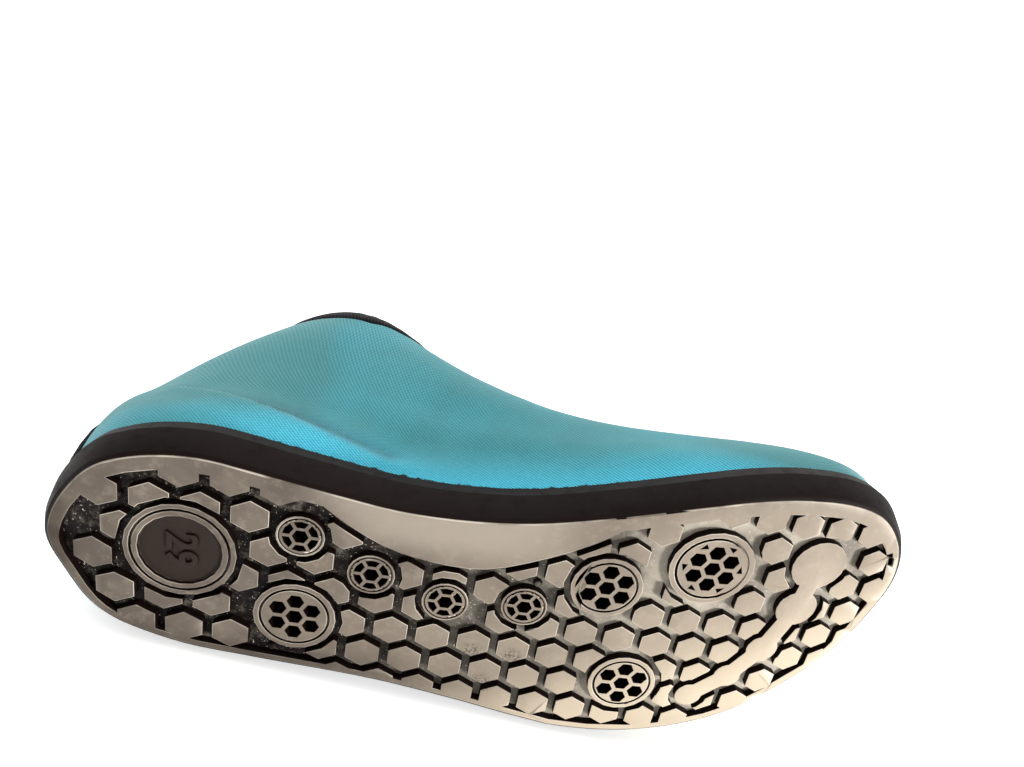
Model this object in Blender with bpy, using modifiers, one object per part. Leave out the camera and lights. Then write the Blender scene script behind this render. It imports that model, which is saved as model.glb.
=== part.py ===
"""Left water shoe, child's size: a moulded rubber sole with a stretch fabric sock upper.

The shoe is worked out standing: x runs from heel to toe, y to the lateral side, z up from the
tread. An empty then lays it on its lateral side, on the edge of its sole and its collar.
"""
import math

import bmesh
import bpy
import numpy as np
from mathutils import Matrix, Vector

for old_object in list(bpy.data.objects):
    bpy.data.objects.remove(old_object, do_unlink=True)

# Driving sizes in metres

SOLE_LENGTH = 0.198
BALL_WIDTH = 0.0736
HEEL_COLLAR_HEIGHT = 0.082
INSTEP_HEIGHT = 0.068

TREAD_DEPTH = 0.0020
PLATE_THICKNESS = 0.0030
SIDEWALL_HEIGHT = 0.0110
SIDEWALL_FLARE = 0.0030
SIDEWALL_LIP = 0.0013
SIDEWALL_FOOT = 0.0034
LIP_ROUND = 0.0002
RIM_ROUND = 0.0002
MEDIAL_RIM = 0.0036
LATERAL_RIM = 0.0016
RIM_RECESS = 0.0002
TOE_SPRING = 0.0070
HEEL_SPRING = 0.0015

LUG_TRIM = 0.0008
LUG_REACH = 0.0030
LUG_OVERLAP = 0.0004
PANEL_TRIM = 0.0012
DISC_CLEARANCE = 0.0016
DISC_RECESS = 0.0001
HEEL_DISC_RADIUS = 0.0128
HEEL_DISC_RING = 0.0033
HEEL_DISC_SINK = 0.0008
SMALL_VENT_RADIUS = 0.0056
SMALL_VENT_SPOKE = 0.0008
# Shares of SMALL_VENT_RADIUS: the corners of the middle hole and of its hub, the ring's inside
SMALL_VENT_HOLE = 0.34
SMALL_VENT_HUB = 0.49
SMALL_VENT_RING = 0.74
CELL_PITCH = 0.0046
CELL_BAR = 0.0010
CHAIN_NECK_WIDTH = 0.0050

UPPER_WALL = 0.0018
BINDING_HEIGHT = 0.0050
BINDING_COVER = 0.0005
TAPE_WIDTH = 0.011
TAPE_THICKNESS = 0.0008
INSOLE_THICKNESS = 0.0025
CLEARANCE = 0.0003

MERIDIANS = 52
OUTLINE_STEPS = 12
PANEL_STEPS = 3
RING_STEPS = 2
TURNING_WEIGHT = 2.0
DISC_CORNERS = 20
CLEARANCE_CORNERS = 14
SLOT_STEPS = 2
SUNK = 0.0003
THROUGH = 0.001
CUT_SLIVER = 2e-6

GROOVE_LEVEL = TREAD_DEPTH
PLATE_TOP = TREAD_DEPTH + PLATE_THICKNESS
SEAT_LEVEL = PLATE_TOP + CLEARANCE
PLATE_EDGE = SIDEWALL_FLARE * 1.12 - SIDEWALL_FOOT
SEAT_OFFSET = PLATE_EDGE - CLEARANCE

# Columns: colour, roughness
FINISH = {
    "outsole": ((0.16, 0.13, 0.11), 0.62),
    "upper": ((0.10, 0.50, 0.66), 0.90),
    "insole": ((0.03, 0.03, 0.03), 0.85),
    "collar_binding": ((0.02, 0.02, 0.02), 0.80),
    "heel_tape": ((0.02, 0.02, 0.02), 0.80),
}
# Kilograms in a cubic metre
DENSITY = {
    "outsole": 1050,
    "upper": 380,
    "insole": 180,
    "collar_binding": 500,
    "heel_tape": 600,
}

# Outline of the tread face from the heel round the lateral side, the toe and the medial side
# Columns: share of SOLE_LENGTH from the heel, share of BALL_WIDTH to the lateral side
TREAD_OUTLINE = (
    (0.000, 0.006),
    (0.019, 0.141),
    (0.059, 0.280),
    (0.145, 0.368),
    (0.241, 0.398),
    (0.384, 0.431),
    (0.508, 0.488),
    (0.623, 0.548),
    (0.728, 0.537),
    (0.830, 0.452),
    (0.907, 0.296),
    (0.962, 0.122),
    (0.994, -0.090),
    (1.000, -0.218),
    (0.984, -0.341),
    (0.943, -0.441),
    (0.871, -0.478),
    (0.776, -0.447),
    (0.642, -0.345),
    (0.527, -0.270),
    (0.403, -0.253),
    (0.274, -0.300),
    (0.160, -0.342),
    (0.071, -0.288),
    (0.022, -0.154),
)
TOE_ROW = 13

# Lift of the sole, in straight runs so that the faces of the sole stay flat
# Columns: share of SOLE_LENGTH, share of HEEL_SPRING, share of TOE_SPRING
SPRING_RUNS = (
    (-0.050, 1.67, 0.00),
    (0.075, 0.00, 0.00),
    (0.620, 0.00, 0.00),
    (0.750, 0.00, 0.12),
    (0.870, 0.00, 0.43),
    (1.050, 0.00, 1.22),
)

# Round of the sidewall, from the tread's rim to its widest line
# Columns: share of SIDEWALL_FLARE, share of SIDEWALL_HEIGHT
SIDEWALL_PROFILE = (
    (0.33, 0.073),
    (0.72, 0.300),
    (1.00, 0.660),
)

# Share of SOLE_LENGTH from which the last swings to the big toe
SWING_START = 0.5

# Half-widths of the last about its centreline
# Columns: share of SOLE_LENGTH, lateral and medial shares of BALL_WIDTH
LAST_WIDTHS = (
    (0.00, 0.37, 0.39),
    (0.25, 0.40, 0.40),
    (0.45, 0.45, 0.39),
    (0.65, 0.54, 0.375),
    (0.80, 0.57, 0.36),
    (1.00, 0.57, 0.36),
)

# Rings of the upper from the sole to the collar
# Columns: name, back as a share of SOLE_LENGTH, back height as a share of HEEL_COLLAR_HEIGHT,
# front as a share of SOLE_LENGTH, front height as a share of INSTEP_HEIGHT, lateral and medial
# shares of the last's half-width, roundness from the tread's outline, 0, to an oval, 1
UPPER_RINGS = (
    ("shoulder", -0.020, 0.39, 0.970, 0.42, 1.00, 1.02, 0.50),
    ("toe_crown", -0.006, 0.50, 0.895, 0.52, 0.95, 1.03, 0.85),
    ("vamp", 0.014, 0.60, 0.795, 0.61, 0.92, 1.06, 1.00),
    ("waist", 0.040, 0.70, 0.660, 0.745, 0.88, 1.10, 1.00),
    ("throat", 0.085, 0.83, 0.540, 0.88, 0.85, 1.14, 1.00),
    ("collar", 0.157, 1.00, 0.440, 1.00, 0.80, 1.14, 1.00),
)
# The heel tape starts above this ring and is fitted to this many meridians on each side
TAPE_FIRST_RING = 3
TAPE_REACH = 6
TAPE_COLUMNS = 5
# Powers of a ring's width: the smaller, the fuller its back or front quarter
BACK_FULLNESS = 0.38
FRONT_FULLNESS = 0.55
# The fabric's swell just above the sole: its height, then how far it stands out of the tread's
# outline behind the ball and at the toe
BULGE_LEVEL = 0.019
BULGE_OFFSET = 0.0034
TOE_BULGE_OFFSET = 0.0016
# Shares of SOLE_LENGTH: where the swell starts to slim, and over what length
BULGE_SLIM_START = 0.64
BULGE_SLIM_LENGTH = 0.30

# Water vents and discs of the tread
# Columns: share of SOLE_LENGTH, share of BALL_WIDTH, radius as a share of BALL_WIDTH
LARGE_VENTS = (
    (0.2846, 0.206, 0.133),
    (0.6982, 0.324, 0.117),
    (0.6452, -0.073, 0.118),
    (0.7626, -0.193, 0.141),
)
SMALL_VENTS = (
    (0.2841, -0.1144),
    (0.3687, -0.0039),
    (0.4594, 0.0668),
    (0.5535, 0.0450),
)
HEEL_DISC = (0.150, 0.0)
TOE_CHAIN = (
    (0.8944, -0.2352, 0.094),
    (0.8878, -0.0553, 0.072),
    (0.8639, 0.1260, 0.056),
    (0.8319, 0.2545, 0.050),
    (0.7899, 0.3535, 0.049),
)
# Edge of the smooth arch panel, from the waist to the ball
ARCH_PANEL = (
    (0.290, -0.275),
    (0.322, -0.206),
    (0.379, -0.120),
    (0.437, -0.084),
    (0.500, -0.084),
    (0.570, -0.161),
    (0.628, -0.257),
    (0.656, -0.328),
)

# Grid of the lugs: a row runs along the sole, a place counts lugs from the heel
LUG_ROWS = 9
LUG_PLACES = 19
LUG_START = 0.1120
LUG_PITCH = 0.05605
LUG_TAPER = 0.00039
LUG_LEAN = 0.00424
LUG_ROW_START = -0.0597
LUG_ROW_RISE = 0.00738
LUG_ROW_PITCH = 0.11924
LUG_ROW_FAN = 0.00075
# A lug's width as a share of its pitch, and its half depth as a share of its row's pitch
LUG_FILL = 0.80
LUG_HALF_DEPTH = 0.505
# The arch panel closes on a line outside the sole
PANEL_BACK = 0.26
PANEL_MIDDLE = 0.48
PANEL_FRONT = 0.66
PANEL_OUTSIDE = -0.60


def smooth_step(value):
    """Rise from 0 to 1 with level ends."""
    share = min(max(value, 0.0), 1.0)
    return share * share * (3.0 - 2.0 * share)


def along(share):
    return share * SOLE_LENGTH


def across(share):
    return share * BALL_WIDTH


def catmull_rom(before, start, end, after, step):
    """Point between start and end on the smooth curve through four points."""
    linear = (end - before) / 2
    square = before - 2.5 * start + 2 * end - after / 2
    cube = (after - before) / 2 + 1.5 * (start - end)
    return start + step * (linear + step * (square + step * cube))


def closed_curve(points, steps):
    """Smooth closed curve through the points, with steps from each point to the next."""
    count = len(points)
    curve = []
    for index in range(count):
        four = [points[(index + shift) % count] for shift in (-1, 0, 1, 2)]
        for step in range(steps):
            curve.append(catmull_rom(*four, step / steps))
    return np.array(curve)


def open_curve(points, steps):
    """Smooth curve through the points, from the first to the last."""
    last = len(points) - 1
    curve = []
    for index in range(last):
        four = [points[min(max(index + shift, 0), last)] for shift in (-1, 0, 1, 2)]
        for step in range(steps):
            curve.append(catmull_rom(*four, step / steps))
    curve.append(points[last])
    return np.array(curve)


def sample_outline():
    """Tread outline, anticlockwise from the toe, with closer points where it turns."""
    rows = [np.array((along(x), across(y))) for x, y in TREAD_OUTLINE[::-1]]
    start = len(rows) - 1 - TOE_ROW
    curve = closed_curve(rows[start:] + rows[:start], OUTLINE_STEPS)
    run = np.roll(curve, -1, axis=0) - curve
    heading = np.arctan2(run[:, 1], run[:, 0])
    turning = np.abs((np.roll(heading, -1) - heading + math.pi) % (2 * math.pi) - math.pi)
    length = np.linalg.norm(run, axis=1)
    pace = length / length.sum() + TURNING_WEIGHT * turning / turning.sum()
    reached = np.concatenate([[0.0], np.cumsum(pace)])
    goal = reached[-1] * np.arange(MERIDIANS) / MERIDIANS
    closed = np.vstack([curve, curve[:1]])
    return np.stack([np.interp(goal, reached, closed[:, axis]) for axis in (0, 1)], axis=1)


OUTLINE = sample_outline()
HEEL_MERIDIAN = int(np.argmin(OUTLINE[:, 0]))
TOE_TIP = across(TREAD_OUTLINE[TOE_ROW][1])
HEEL_TIP = across(TREAD_OUTLINE[0][1])


def outward(loop):
    """Unit vectors in the plane, pointing out of a loop that runs anticlockwise."""
    tangent = np.roll(loop, -1, axis=0) - np.roll(loop, 1, axis=0)
    normal = np.stack([tangent[:, 1], -tangent[:, 0]], axis=1)
    return normal / np.linalg.norm(normal, axis=1)[:, None]


def moved_outline(offset):
    """The outline moved out by one offset, or by one for each of its points."""
    return OUTLINE + outward(OUTLINE) * np.broadcast_to(offset, MERIDIANS)[:, None]


def outline_ring(offset, level):
    """The outline moved out by offset, as a ring of points at one level."""
    return np.column_stack([moved_outline(offset), np.full(MERIDIANS, level)])


def rim_widths():
    """Width of the tread's rim at each point: broad on the medial side, narrow on the other."""
    lateral = (outward(OUTLINE)[:, 1] + 1) / 2
    return MEDIAL_RIM + (LATERAL_RIM - MEDIAL_RIM) * lateral


def spring(x):
    """Lift of the sole at x, at the toe and at the back of the heel."""
    table = np.array(SPRING_RUNS)
    heel, toe = [np.interp(x / SOLE_LENGTH, table[:, 0], table[:, column]) for column in (1, 2)]
    return HEEL_SPRING * heel + TOE_SPRING * toe


def slice_for_spring(bm):
    """Edges across the sole where the toe and heel spring bend it."""
    for share, _, _ in SPRING_RUNS[1:-1]:
        everything = bm.verts[:] + bm.edges[:] + bm.faces[:]
        bmesh.ops.bisect_plane(bm, geom=everything, dist=CUT_SLIVER,
                               plane_co=(along(share), 0, 0), plane_no=(1, 0, 0))


def bend(mesh):
    """Lift every point of a mesh with the toe and heel spring."""
    bm = bmesh.new()
    bm.from_mesh(mesh)
    slice_for_spring(bm)
    for vertex in bm.verts:
        vertex.co.z += spring(vertex.co.x)
    bm.to_mesh(mesh)
    bm.free()


def new_material(name, colour, roughness):
    material = bpy.data.materials.new(name)
    material.use_nodes = True
    shader = material.node_tree.nodes["Principled BSDF"]
    shader.inputs["Base Color"].default_value = (*colour, 1.0)
    shader.inputs["Roughness"].default_value = roughness
    shader.inputs["Metallic"].default_value = 0.0
    material.diffuse_color = (*colour, 1.0)
    return material


PARTS = bpy.data.collections.new("water_shoe")
CUTTERS = bpy.data.collections.new("cutters")
bpy.context.scene.collection.children.link(PARTS)
bpy.context.scene.collection.children.link(CUTTERS)


def new_object(name, bm, collection):
    """Object of a finished bmesh."""
    bmesh.ops.recalc_face_normals(bm, faces=bm.faces)
    mesh = bpy.data.meshes.new(name)
    bm.to_mesh(mesh)
    bm.free()
    made = bpy.data.objects.new(name, mesh)
    collection.objects.link(made)
    return made


def new_cutter(name, bm):
    made = new_object(name, bm, CUTTERS)
    made.hide_render = True
    made.display_type = "WIRE"
    return made


def evaluated_mesh(source):
    """Mesh of an object with its modifiers applied."""
    bpy.context.view_layer.update()
    graph = bpy.context.evaluated_depsgraph_get()
    return bpy.data.meshes.new_from_object(source.evaluated_get(graph))


def combine(target, tool, operation):
    """Join, cut or trim the target with the tool."""
    boolean = target.modifiers.new(operation.lower(), "BOOLEAN")
    boolean.operation = operation
    boolean.solver = "EXACT"
    boolean.use_self = True
    boolean.object = tool
    mesh = evaluated_mesh(target)
    target.modifiers.clear()
    target.data = mesh
    bm = bmesh.new()
    bm.from_mesh(mesh)
    bmesh.ops.dissolve_degenerate(bm, dist=CUT_SLIVER, edges=bm.edges)
    bm.to_mesh(mesh)
    bm.free()


def add_prism(bm, loop, low, high):
    """Upright prism on an outline of points in the plane."""
    base = [bm.verts.new((x, y, low)) for x, y in loop]
    face = bm.faces.new(base)
    grown = bmesh.ops.extrude_face_region(bm, geom=[face])
    tops = [item for item in grown["geom"] if isinstance(item, bmesh.types.BMVert)]
    bmesh.ops.translate(bm, verts=tops, vec=(0, 0, high - low))


def add_loft(bm, rings, closed_ends):
    """Skin over rings of equally many points."""
    rows = [[bm.verts.new(point) for point in ring] for ring in rings]
    count = len(rows[0])
    for lower, upper in zip(rows, rows[1:]):
        for index in range(count):
            after = (index + 1) % count
            bm.faces.new((lower[index], lower[after], upper[after], upper[index]))
    if closed_ends:
        bm.faces.new(rows[0])
        bm.faces.new(rows[-1])


def circle(centre, radius, corners, turn=0.0):
    """Corners of a regular polygon about a centre."""
    angles = [turn + 2 * math.pi * index / corners for index in range(corners)]
    return [(centre[0] + radius * math.cos(a), centre[1] + radius * math.sin(a)) for a in angles]


def make_cup():
    """Plate and rounded sidewall, without lugs."""
    rows = [(-rim_widths(), GROOVE_LEVEL), (-rim_widths(), RIM_RECESS), (-RIM_ROUND, RIM_RECESS)]
    rows += [(SIDEWALL_FLARE * out, SIDEWALL_HEIGHT * rise) for out, rise in SIDEWALL_PROFILE]
    rows += [
        (SIDEWALL_FLARE - SIDEWALL_LIP / 2, SIDEWALL_HEIGHT),
        (SIDEWALL_FLARE - SIDEWALL_LIP, SIDEWALL_HEIGHT - LIP_ROUND),
        (PLATE_EDGE, PLATE_TOP),
    ]
    bm = bmesh.new()
    add_loft(bm, [outline_ring(offset, level) for offset, level in rows], True)
    slice_for_spring(bm)
    sloping = [face for face in bm.faces if len({vertex.co.z for vertex in face.verts}) > 1]
    bmesh.ops.triangulate(bm, faces=sloping)
    return new_object("outsole", bm, PARTS)


def lug_centre(row, place):
    """Centre of a lug: rows fan out towards the toe and places close up."""
    x = LUG_START + LUG_PITCH * place - LUG_TAPER * place ** 2 + LUG_LEAN * row
    y = LUG_ROW_START + LUG_ROW_RISE * place - (LUG_ROW_PITCH - LUG_ROW_FAN * place) * row
    return along(x), across(y)


def lug_loop(centre, place):
    """Outline of a lug: a hexagon as deep as its row and as wide as its pitch allow."""
    half_width = along(LUG_PITCH - 2 * LUG_TAPER * place) * LUG_FILL / 2
    half_depth = across(LUG_ROW_PITCH - LUG_ROW_FAN * place) * LUG_HALF_DEPTH
    corners = circle((0, 0), 1.0, 6, math.pi / 6)
    stretch = half_width / max(x for x, _ in corners)
    return [(centre[0] + x * stretch, centre[1] + y * half_depth) for x, y in corners]


def inside(loop, point):
    """Whether a point lies in a closed outline."""
    hit = False
    x, y = point
    for (ax, ay), (bx, by) in zip(loop, np.roll(loop, -1, axis=0)):
        if (ay > y) != (by > y) and x < ax + (y - ay) / (by - ay) * (bx - ax):
            hit = not hit
    return hit


def discs():
    """Centre and radius of every disc of the tread."""
    found = [(along(HEEL_DISC[0]), across(HEEL_DISC[1]), HEEL_DISC_RADIUS)]
    found += [(along(x), across(y), across(radius)) for x, y, radius in LARGE_VENTS]
    found += [(along(x), across(y), SMALL_VENT_RADIUS) for x, y in SMALL_VENTS]
    return found


def chain_discs():
    return [(along(x), across(y), across(radius)) for x, y, radius in TOE_CHAIN]


def panel_loop(clearance):
    """Arch panel's outline, closed along a line outside the medial edge."""
    rows = [np.array((along(x), across(y))) for x, y in ARCH_PANEL]
    curve = open_curve(rows, PANEL_STEPS)
    outside = across(PANEL_OUTSIDE)
    away = curve - np.array((along(PANEL_MIDDLE), outside))
    curve = curve + away / np.linalg.norm(away, axis=1)[:, None] * clearance
    return [tuple(point) for point in curve] + [(along(PANEL_FRONT), outside),
                                                (along(PANEL_BACK), outside)]


def keep_lug(centre):
    """Whether a lug's middle stays near the rim and clear of the discs and the arch panel."""
    if not inside(moved_outline(LUG_REACH - rim_widths()), centre):
        return False
    if inside(np.array(panel_loop(0.0)), centre):
        return False
    for x, y, radius in discs() + chain_discs():
        if math.hypot(centre[0] - x, centre[1] - y) < radius - LUG_OVERLAP:
            return False
    return True


def neck_loop(start, end, width):
    """Strip between two discs."""
    run = Vector((end[0] - start[0], end[1] - start[1]))
    side = Vector((-run.y, run.x)).normalized() * (width / 2)
    a = Vector(start[:2])
    b = Vector(end[:2])
    return [tuple(a + side), tuple(a - side), tuple(b - side), tuple(b + side)]


def make_lugs():
    """Honeycomb lugs, trimmed to the rim and cut back round the discs and the panel."""
    bm = bmesh.new()
    for row in range(LUG_ROWS):
        for step in range(-1, LUG_PLACES):
            place = step if row % 2 else step + 0.5
            centre = lug_centre(row - LUG_ROWS // 2, place)
            if not keep_lug(centre):
                continue
            add_prism(bm, lug_loop(centre, place), 0.0, GROOVE_LEVEL + SUNK)
    lugs = new_cutter("lug_blanks", bm)
    bm = bmesh.new()
    add_prism(bm, [tuple(point) for point in moved_outline(-LUG_TRIM)], -THROUGH, PLATE_TOP)
    combine(lugs, new_cutter("rim_trim", bm), "INTERSECT")
    links = chain_discs()
    rounds = discs()
    groups = (
        [circle(d, d[2] + DISC_CLEARANCE, CLEARANCE_CORNERS) for d in rounds + links[0::2]],
        [circle(d, d[2] + DISC_CLEARANCE, CLEARANCE_CORNERS) for d in links[1::2]],
        [panel_loop(DISC_CLEARANCE)],
        [neck_loop(a, b, CHAIN_NECK_WIDTH + 2 * DISC_CLEARANCE) for a, b in zip(links, links[1:])],
    )
    for index, loops in enumerate(groups):
        bm = bmesh.new()
        for loop in loops:
            add_prism(bm, loop, -THROUGH, PLATE_TOP)
        combine(lugs, new_cutter("lug_clearance_%d" % index, bm), "DIFFERENCE")
    return lugs


def make_raised():
    """Discs, toe chain and arch panel as blanks that stand on the plate."""
    links = chain_discs()
    groups = (
        [circle(d, d[2], DISC_CORNERS) for d in discs() + links],
        [panel_loop(0.0)],
        [neck_loop(a, b, CHAIN_NECK_WIDTH) for a, b in zip(links, links[1:])],
    )
    made = []
    for index, loops in enumerate(groups):
        bm = bmesh.new()
        for loop in loops:
            add_prism(bm, loop, DISC_RECESS * (index + 1) / 2, GROOVE_LEVEL + SUNK)
        made.append(new_cutter("raised_%d" % index, bm))
    bm = bmesh.new()
    add_prism(bm, [tuple(point) for point in moved_outline(-PANEL_TRIM)], -THROUGH, PLATE_TOP)
    combine(made[1], new_cutter("panel_trim", bm), "INTERSECT")
    return made


def slot_loop():
    """One slot of a small vent: between two spokes, from the hub's hexagon to the ring."""
    ring = SMALL_VENT_RADIUS * SMALL_VENT_RING
    hub = SMALL_VENT_RADIUS * SMALL_VENT_HUB
    half_spoke = SMALL_VENT_SPOKE / 2
    start = math.asin(half_spoke / ring)
    sweep = math.pi / 3 - 2 * start
    arc = [start + sweep * step / SLOT_STEPS for step in range(SLOT_STEPS + 1)]
    near = Vector((hub, 0))
    far = Vector((hub / 2, hub * math.sqrt(3) / 2))
    share = half_spoke / math.cos(math.pi / 6) / hub
    loop = [Vector((math.cos(a), math.sin(a))) * ring for a in arc]
    return loop + [near.lerp(far, 1 - share), near.lerp(far, share)]


def vent_cells():
    """Cutters through the plate: honeycomb cells and the slots of the small vents."""
    low = -THROUGH
    high = PLATE_TOP + THROUGH
    bm = bmesh.new()
    cell = (CELL_PITCH - CELL_BAR) / math.sqrt(3)
    for x, y, _ in LARGE_VENTS:
        centre = (along(x), across(y))
        add_prism(bm, circle(centre, cell, 6), low, high)
        for middle in circle(centre, CELL_PITCH, 6, math.pi / 6):
            add_prism(bm, circle(middle, cell, 6), low, high)
    for x, y in SMALL_VENTS:
        centre = Vector((along(x), across(y)))
        add_prism(bm, circle(centre, SMALL_VENT_RADIUS * SMALL_VENT_HOLE, 6), low, high)
        for index in range(6):
            spin = Matrix.Rotation(math.pi / 3 * index, 2)
            add_prism(bm, [tuple(centre + spin @ point) for point in slot_loop()], low, high)
    return new_cutter("vent_cells", bm)


def make_outsole():
    cup = make_cup()
    combine(cup, make_lugs(), "UNION")
    for blank in make_raised():
        combine(cup, blank, "UNION")
    bm = bmesh.new()
    centre = (along(HEEL_DISC[0]), across(HEEL_DISC[1]))
    sunk = circle(centre, HEEL_DISC_RADIUS - HEEL_DISC_RING, DISC_CORNERS)
    add_prism(bm, sunk, -THROUGH, HEEL_DISC_SINK)
    combine(cup, new_cutter("heel_disc_sink", bm), "DIFFERENCE")
    combine(cup, vent_cells(), "DIFFERENCE")
    bend(cup.data)
    return cup


def last_widths(x):
    """Lateral and medial half-width of the last at x."""
    table = np.array(LAST_WIDTHS)
    share = x / SOLE_LENGTH
    return [across(np.interp(share, table[:, 0], table[:, column])) for column in (1, 2)]


def centreline(x):
    """Middle of the last at x: it swings to the big toe."""
    swing = (x / SOLE_LENGTH - SWING_START) / (1 - SWING_START)
    return HEEL_TIP + (TOE_TIP - HEEL_TIP) * smooth_step(swing)


def bulge_ring(level):
    """The outline at the fabric's swell: it slims down to the toe."""
    toe = np.array([smooth_step((x - along(BULGE_SLIM_START)) / along(BULGE_SLIM_LENGTH))
                    for x in OUTLINE[:, 0]])
    return outline_ring(BULGE_OFFSET + (TOE_BULGE_OFFSET - BULGE_OFFSET) * toe, level)


def oval_ring(row):
    """One ring of the upper, from its row of the table."""
    _, back, back_height, front, front_height, lateral, medial, roundness = row
    back_z = back_height * HEEL_COLLAR_HEIGHT
    front_z = front_height * INSTEP_HEIGHT
    flared = bulge_ring(0.0)
    ring = []
    for index, (outline_x, _) in enumerate(OUTLINE):
        share = min(max(outline_x / SOLE_LENGTH, 0.0), 1.0)
        x = along(back + (front - back) * share)
        power = BACK_FULLNESS + (FRONT_FULLNESS - BACK_FULLNESS) * share
        side = (4 * share * (1 - share)) ** power
        side = side if index < HEEL_MERIDIAN else -side
        widths = last_widths(x)
        half = widths[0] * lateral if side >= 0 else widths[1] * medial
        oval = centreline(x) + half * side
        y = flared[index][1] * (1 - roundness) + oval * roundness
        ring.append((x, y, back_z + (front_z - back_z) * share))
    return np.array(ring)


def upper_rings():
    """Points of the upper's outer face: a row per ring, from the seat to the collar."""
    inner_lip = SIDEWALL_FLARE - SIDEWALL_LIP
    rings = [
        outline_ring(SEAT_OFFSET, SEAT_LEVEL),
        outline_ring(inner_lip - CLEARANCE, SIDEWALL_HEIGHT),
        bulge_ring(BULGE_LEVEL),
    ]
    rings += [oval_ring(row) for row in UPPER_RINGS]
    return rings


def smooth_rings(rings, steps):
    """More rings between the given ones, on a smooth curve along each meridian."""
    columns = [open_curve([ring[index] for ring in rings], steps) for index in range(MERIDIANS)]
    return np.stack(columns, axis=1)


def lifted(rings):
    """The rings with the toe and heel spring."""
    sprung = rings.copy()
    for point in sprung.reshape(-1, 3):
        point[2] += spring(point[0])
    return sprung


def face_normals(rings):
    """Unit vectors pointing out of the rings' surface at each point."""
    around = np.roll(rings, -1, axis=1) - np.roll(rings, 1, axis=1)
    up = np.gradient(rings, axis=0)
    normal = np.cross(around, up)
    return normal / np.linalg.norm(normal, axis=2)[:, :, None]


def shell_between(name, outer, inner):
    """Closed wall between two sets of rings."""
    bm = bmesh.new()
    loop = list(outer) + list(inner)[::-1]
    add_loft(bm, loop + [outer[0]], False)
    bmesh.ops.remove_doubles(bm, verts=bm.verts, dist=1e-6)
    return new_object(name, bm, PARTS)


def wall(surface, out, depth):
    """Outer and inner faces of a wall on a stretch of the upper's surface."""
    rings, normals = surface
    return rings + normals * out, rings + normals * (out - depth)


def upper_surface():
    """Rings and normals of the fabric's outer face, then those of the binding."""
    rings = smooth_rings(upper_rings(), RING_STEPS)
    run = rings[-1] - rings[-2]
    run = run / np.linalg.norm(run, axis=1)[:, None]
    hem = rings[-1] - run * BINDING_HEIGHT
    fabric = np.vstack([rings[:-1], hem[None]])
    start = hem + run * CLEARANCE
    binding = np.stack([start, (start + rings[-1]) / 2, rings[-1]])
    whole = lifted(np.vstack([fabric, binding]))
    normals = face_normals(whole)
    count = len(fabric)
    normals[count] = normals[count - 1]
    return (whole[:count], normals[:count]), (whole[count:], normals[count:])


def make_upper(fabric):
    return shell_between("upper", *wall(fabric, 0.0, UPPER_WALL))


def make_binding(binding):
    """Folded band over the fabric's edge, thicker than the fabric on both faces."""
    return shell_between("collar_binding",
                         *wall(binding, BINDING_COVER, UPPER_WALL + 2 * BINDING_COVER))


def make_heel_tape(fabric):
    """Tape down the back seam, from the binding to just above the sidewall."""
    outer, _ = wall(fabric, CLEARANCE, 0.0)
    back = slice(HEEL_MERIDIAN - TAPE_REACH, HEEL_MERIDIAN + TAPE_REACH + 1)
    rows = []
    for ring in outer[TAPE_FIRST_RING:]:
        arc = ring[back][::-1]
        across_back = arc[:, 1]
        goal = arc[len(arc) // 2][1] + np.linspace(-0.5, 0.5, TAPE_COLUMNS) * TAPE_WIDTH
        row = [[np.interp(y, across_back, arc[:, axis]) for axis in range(3)] for y in goal]
        rows.append(row)
    bm = bmesh.new()
    grid = [[bm.verts.new(point) for point in row] for row in rows]
    for lower, upper in zip(grid, grid[1:]):
        for index in range(TAPE_COLUMNS - 1):
            bm.faces.new((lower[index], upper[index], upper[index + 1], lower[index + 1]))
    tape = new_object("heel_tape", bm, PARTS)
    solid = tape.modifiers.new("thickness", "SOLIDIFY")
    solid.thickness = TAPE_THICKNESS
    solid.offset = 1.0
    tape.data = evaluated_mesh(tape)
    tape.modifiers.clear()
    return tape


def make_insole():
    bm = bmesh.new()
    edge = SEAT_OFFSET - UPPER_WALL - CLEARANCE
    low = SEAT_LEVEL
    rings = [outline_ring(edge, low), outline_ring(edge, low + INSOLE_THICKNESS)]
    add_loft(bm, rings, True)
    made = new_object("insole", bm, PARTS)
    bend(made.data)
    return made


def corner_points(part):
    """Corners of a part in the shoe's own frame."""
    return [vertex.co.copy() for vertex in part.data.vertices]


def centre_of_mass(parts):
    """Middle of the parts' weight, each part's volume weighed by its density."""
    total = 0.0
    moment = Vector((0, 0, 0))
    for part in parts:
        part.data.calc_loop_triangles()
        for triangle in part.data.loop_triangles:
            a, b, c = [part.data.vertices[index].co for index in triangle.vertices]
            share = a.dot(b.cross(c)) / 6 * DENSITY[part.name]
            total += share
            moment += share * (a + b + c) / 4
    return moment / total


def resting_face(parts):
    """Normal of the hull's face on the lateral side over which the weight stands."""
    least_tilt = math.cos(math.radians(45))
    weight = centre_of_mass(parts)
    bm = bmesh.new()
    for part in parts:
        for point in corner_points(part):
            bm.verts.new(point)
    bmesh.ops.convex_hull(bm, input=bm.verts)
    bmesh.ops.recalc_face_normals(bm, faces=bm.faces)
    found = []
    for face in bm.faces:
        corners = [vertex.co for vertex in face.verts]
        depth = face.normal.dot(corners[0] - weight)
        foot = weight + face.normal * depth
        signs = [(b - a).cross(foot - a).dot(face.normal) > 0
                 for a, b in zip(corners, corners[1:] + corners[:1])]
        if face.normal.y > least_tilt and all(signs):
            found.append((depth, tuple(face.normal)))
    bm.free()
    return Vector(min(found)[1])


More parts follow.
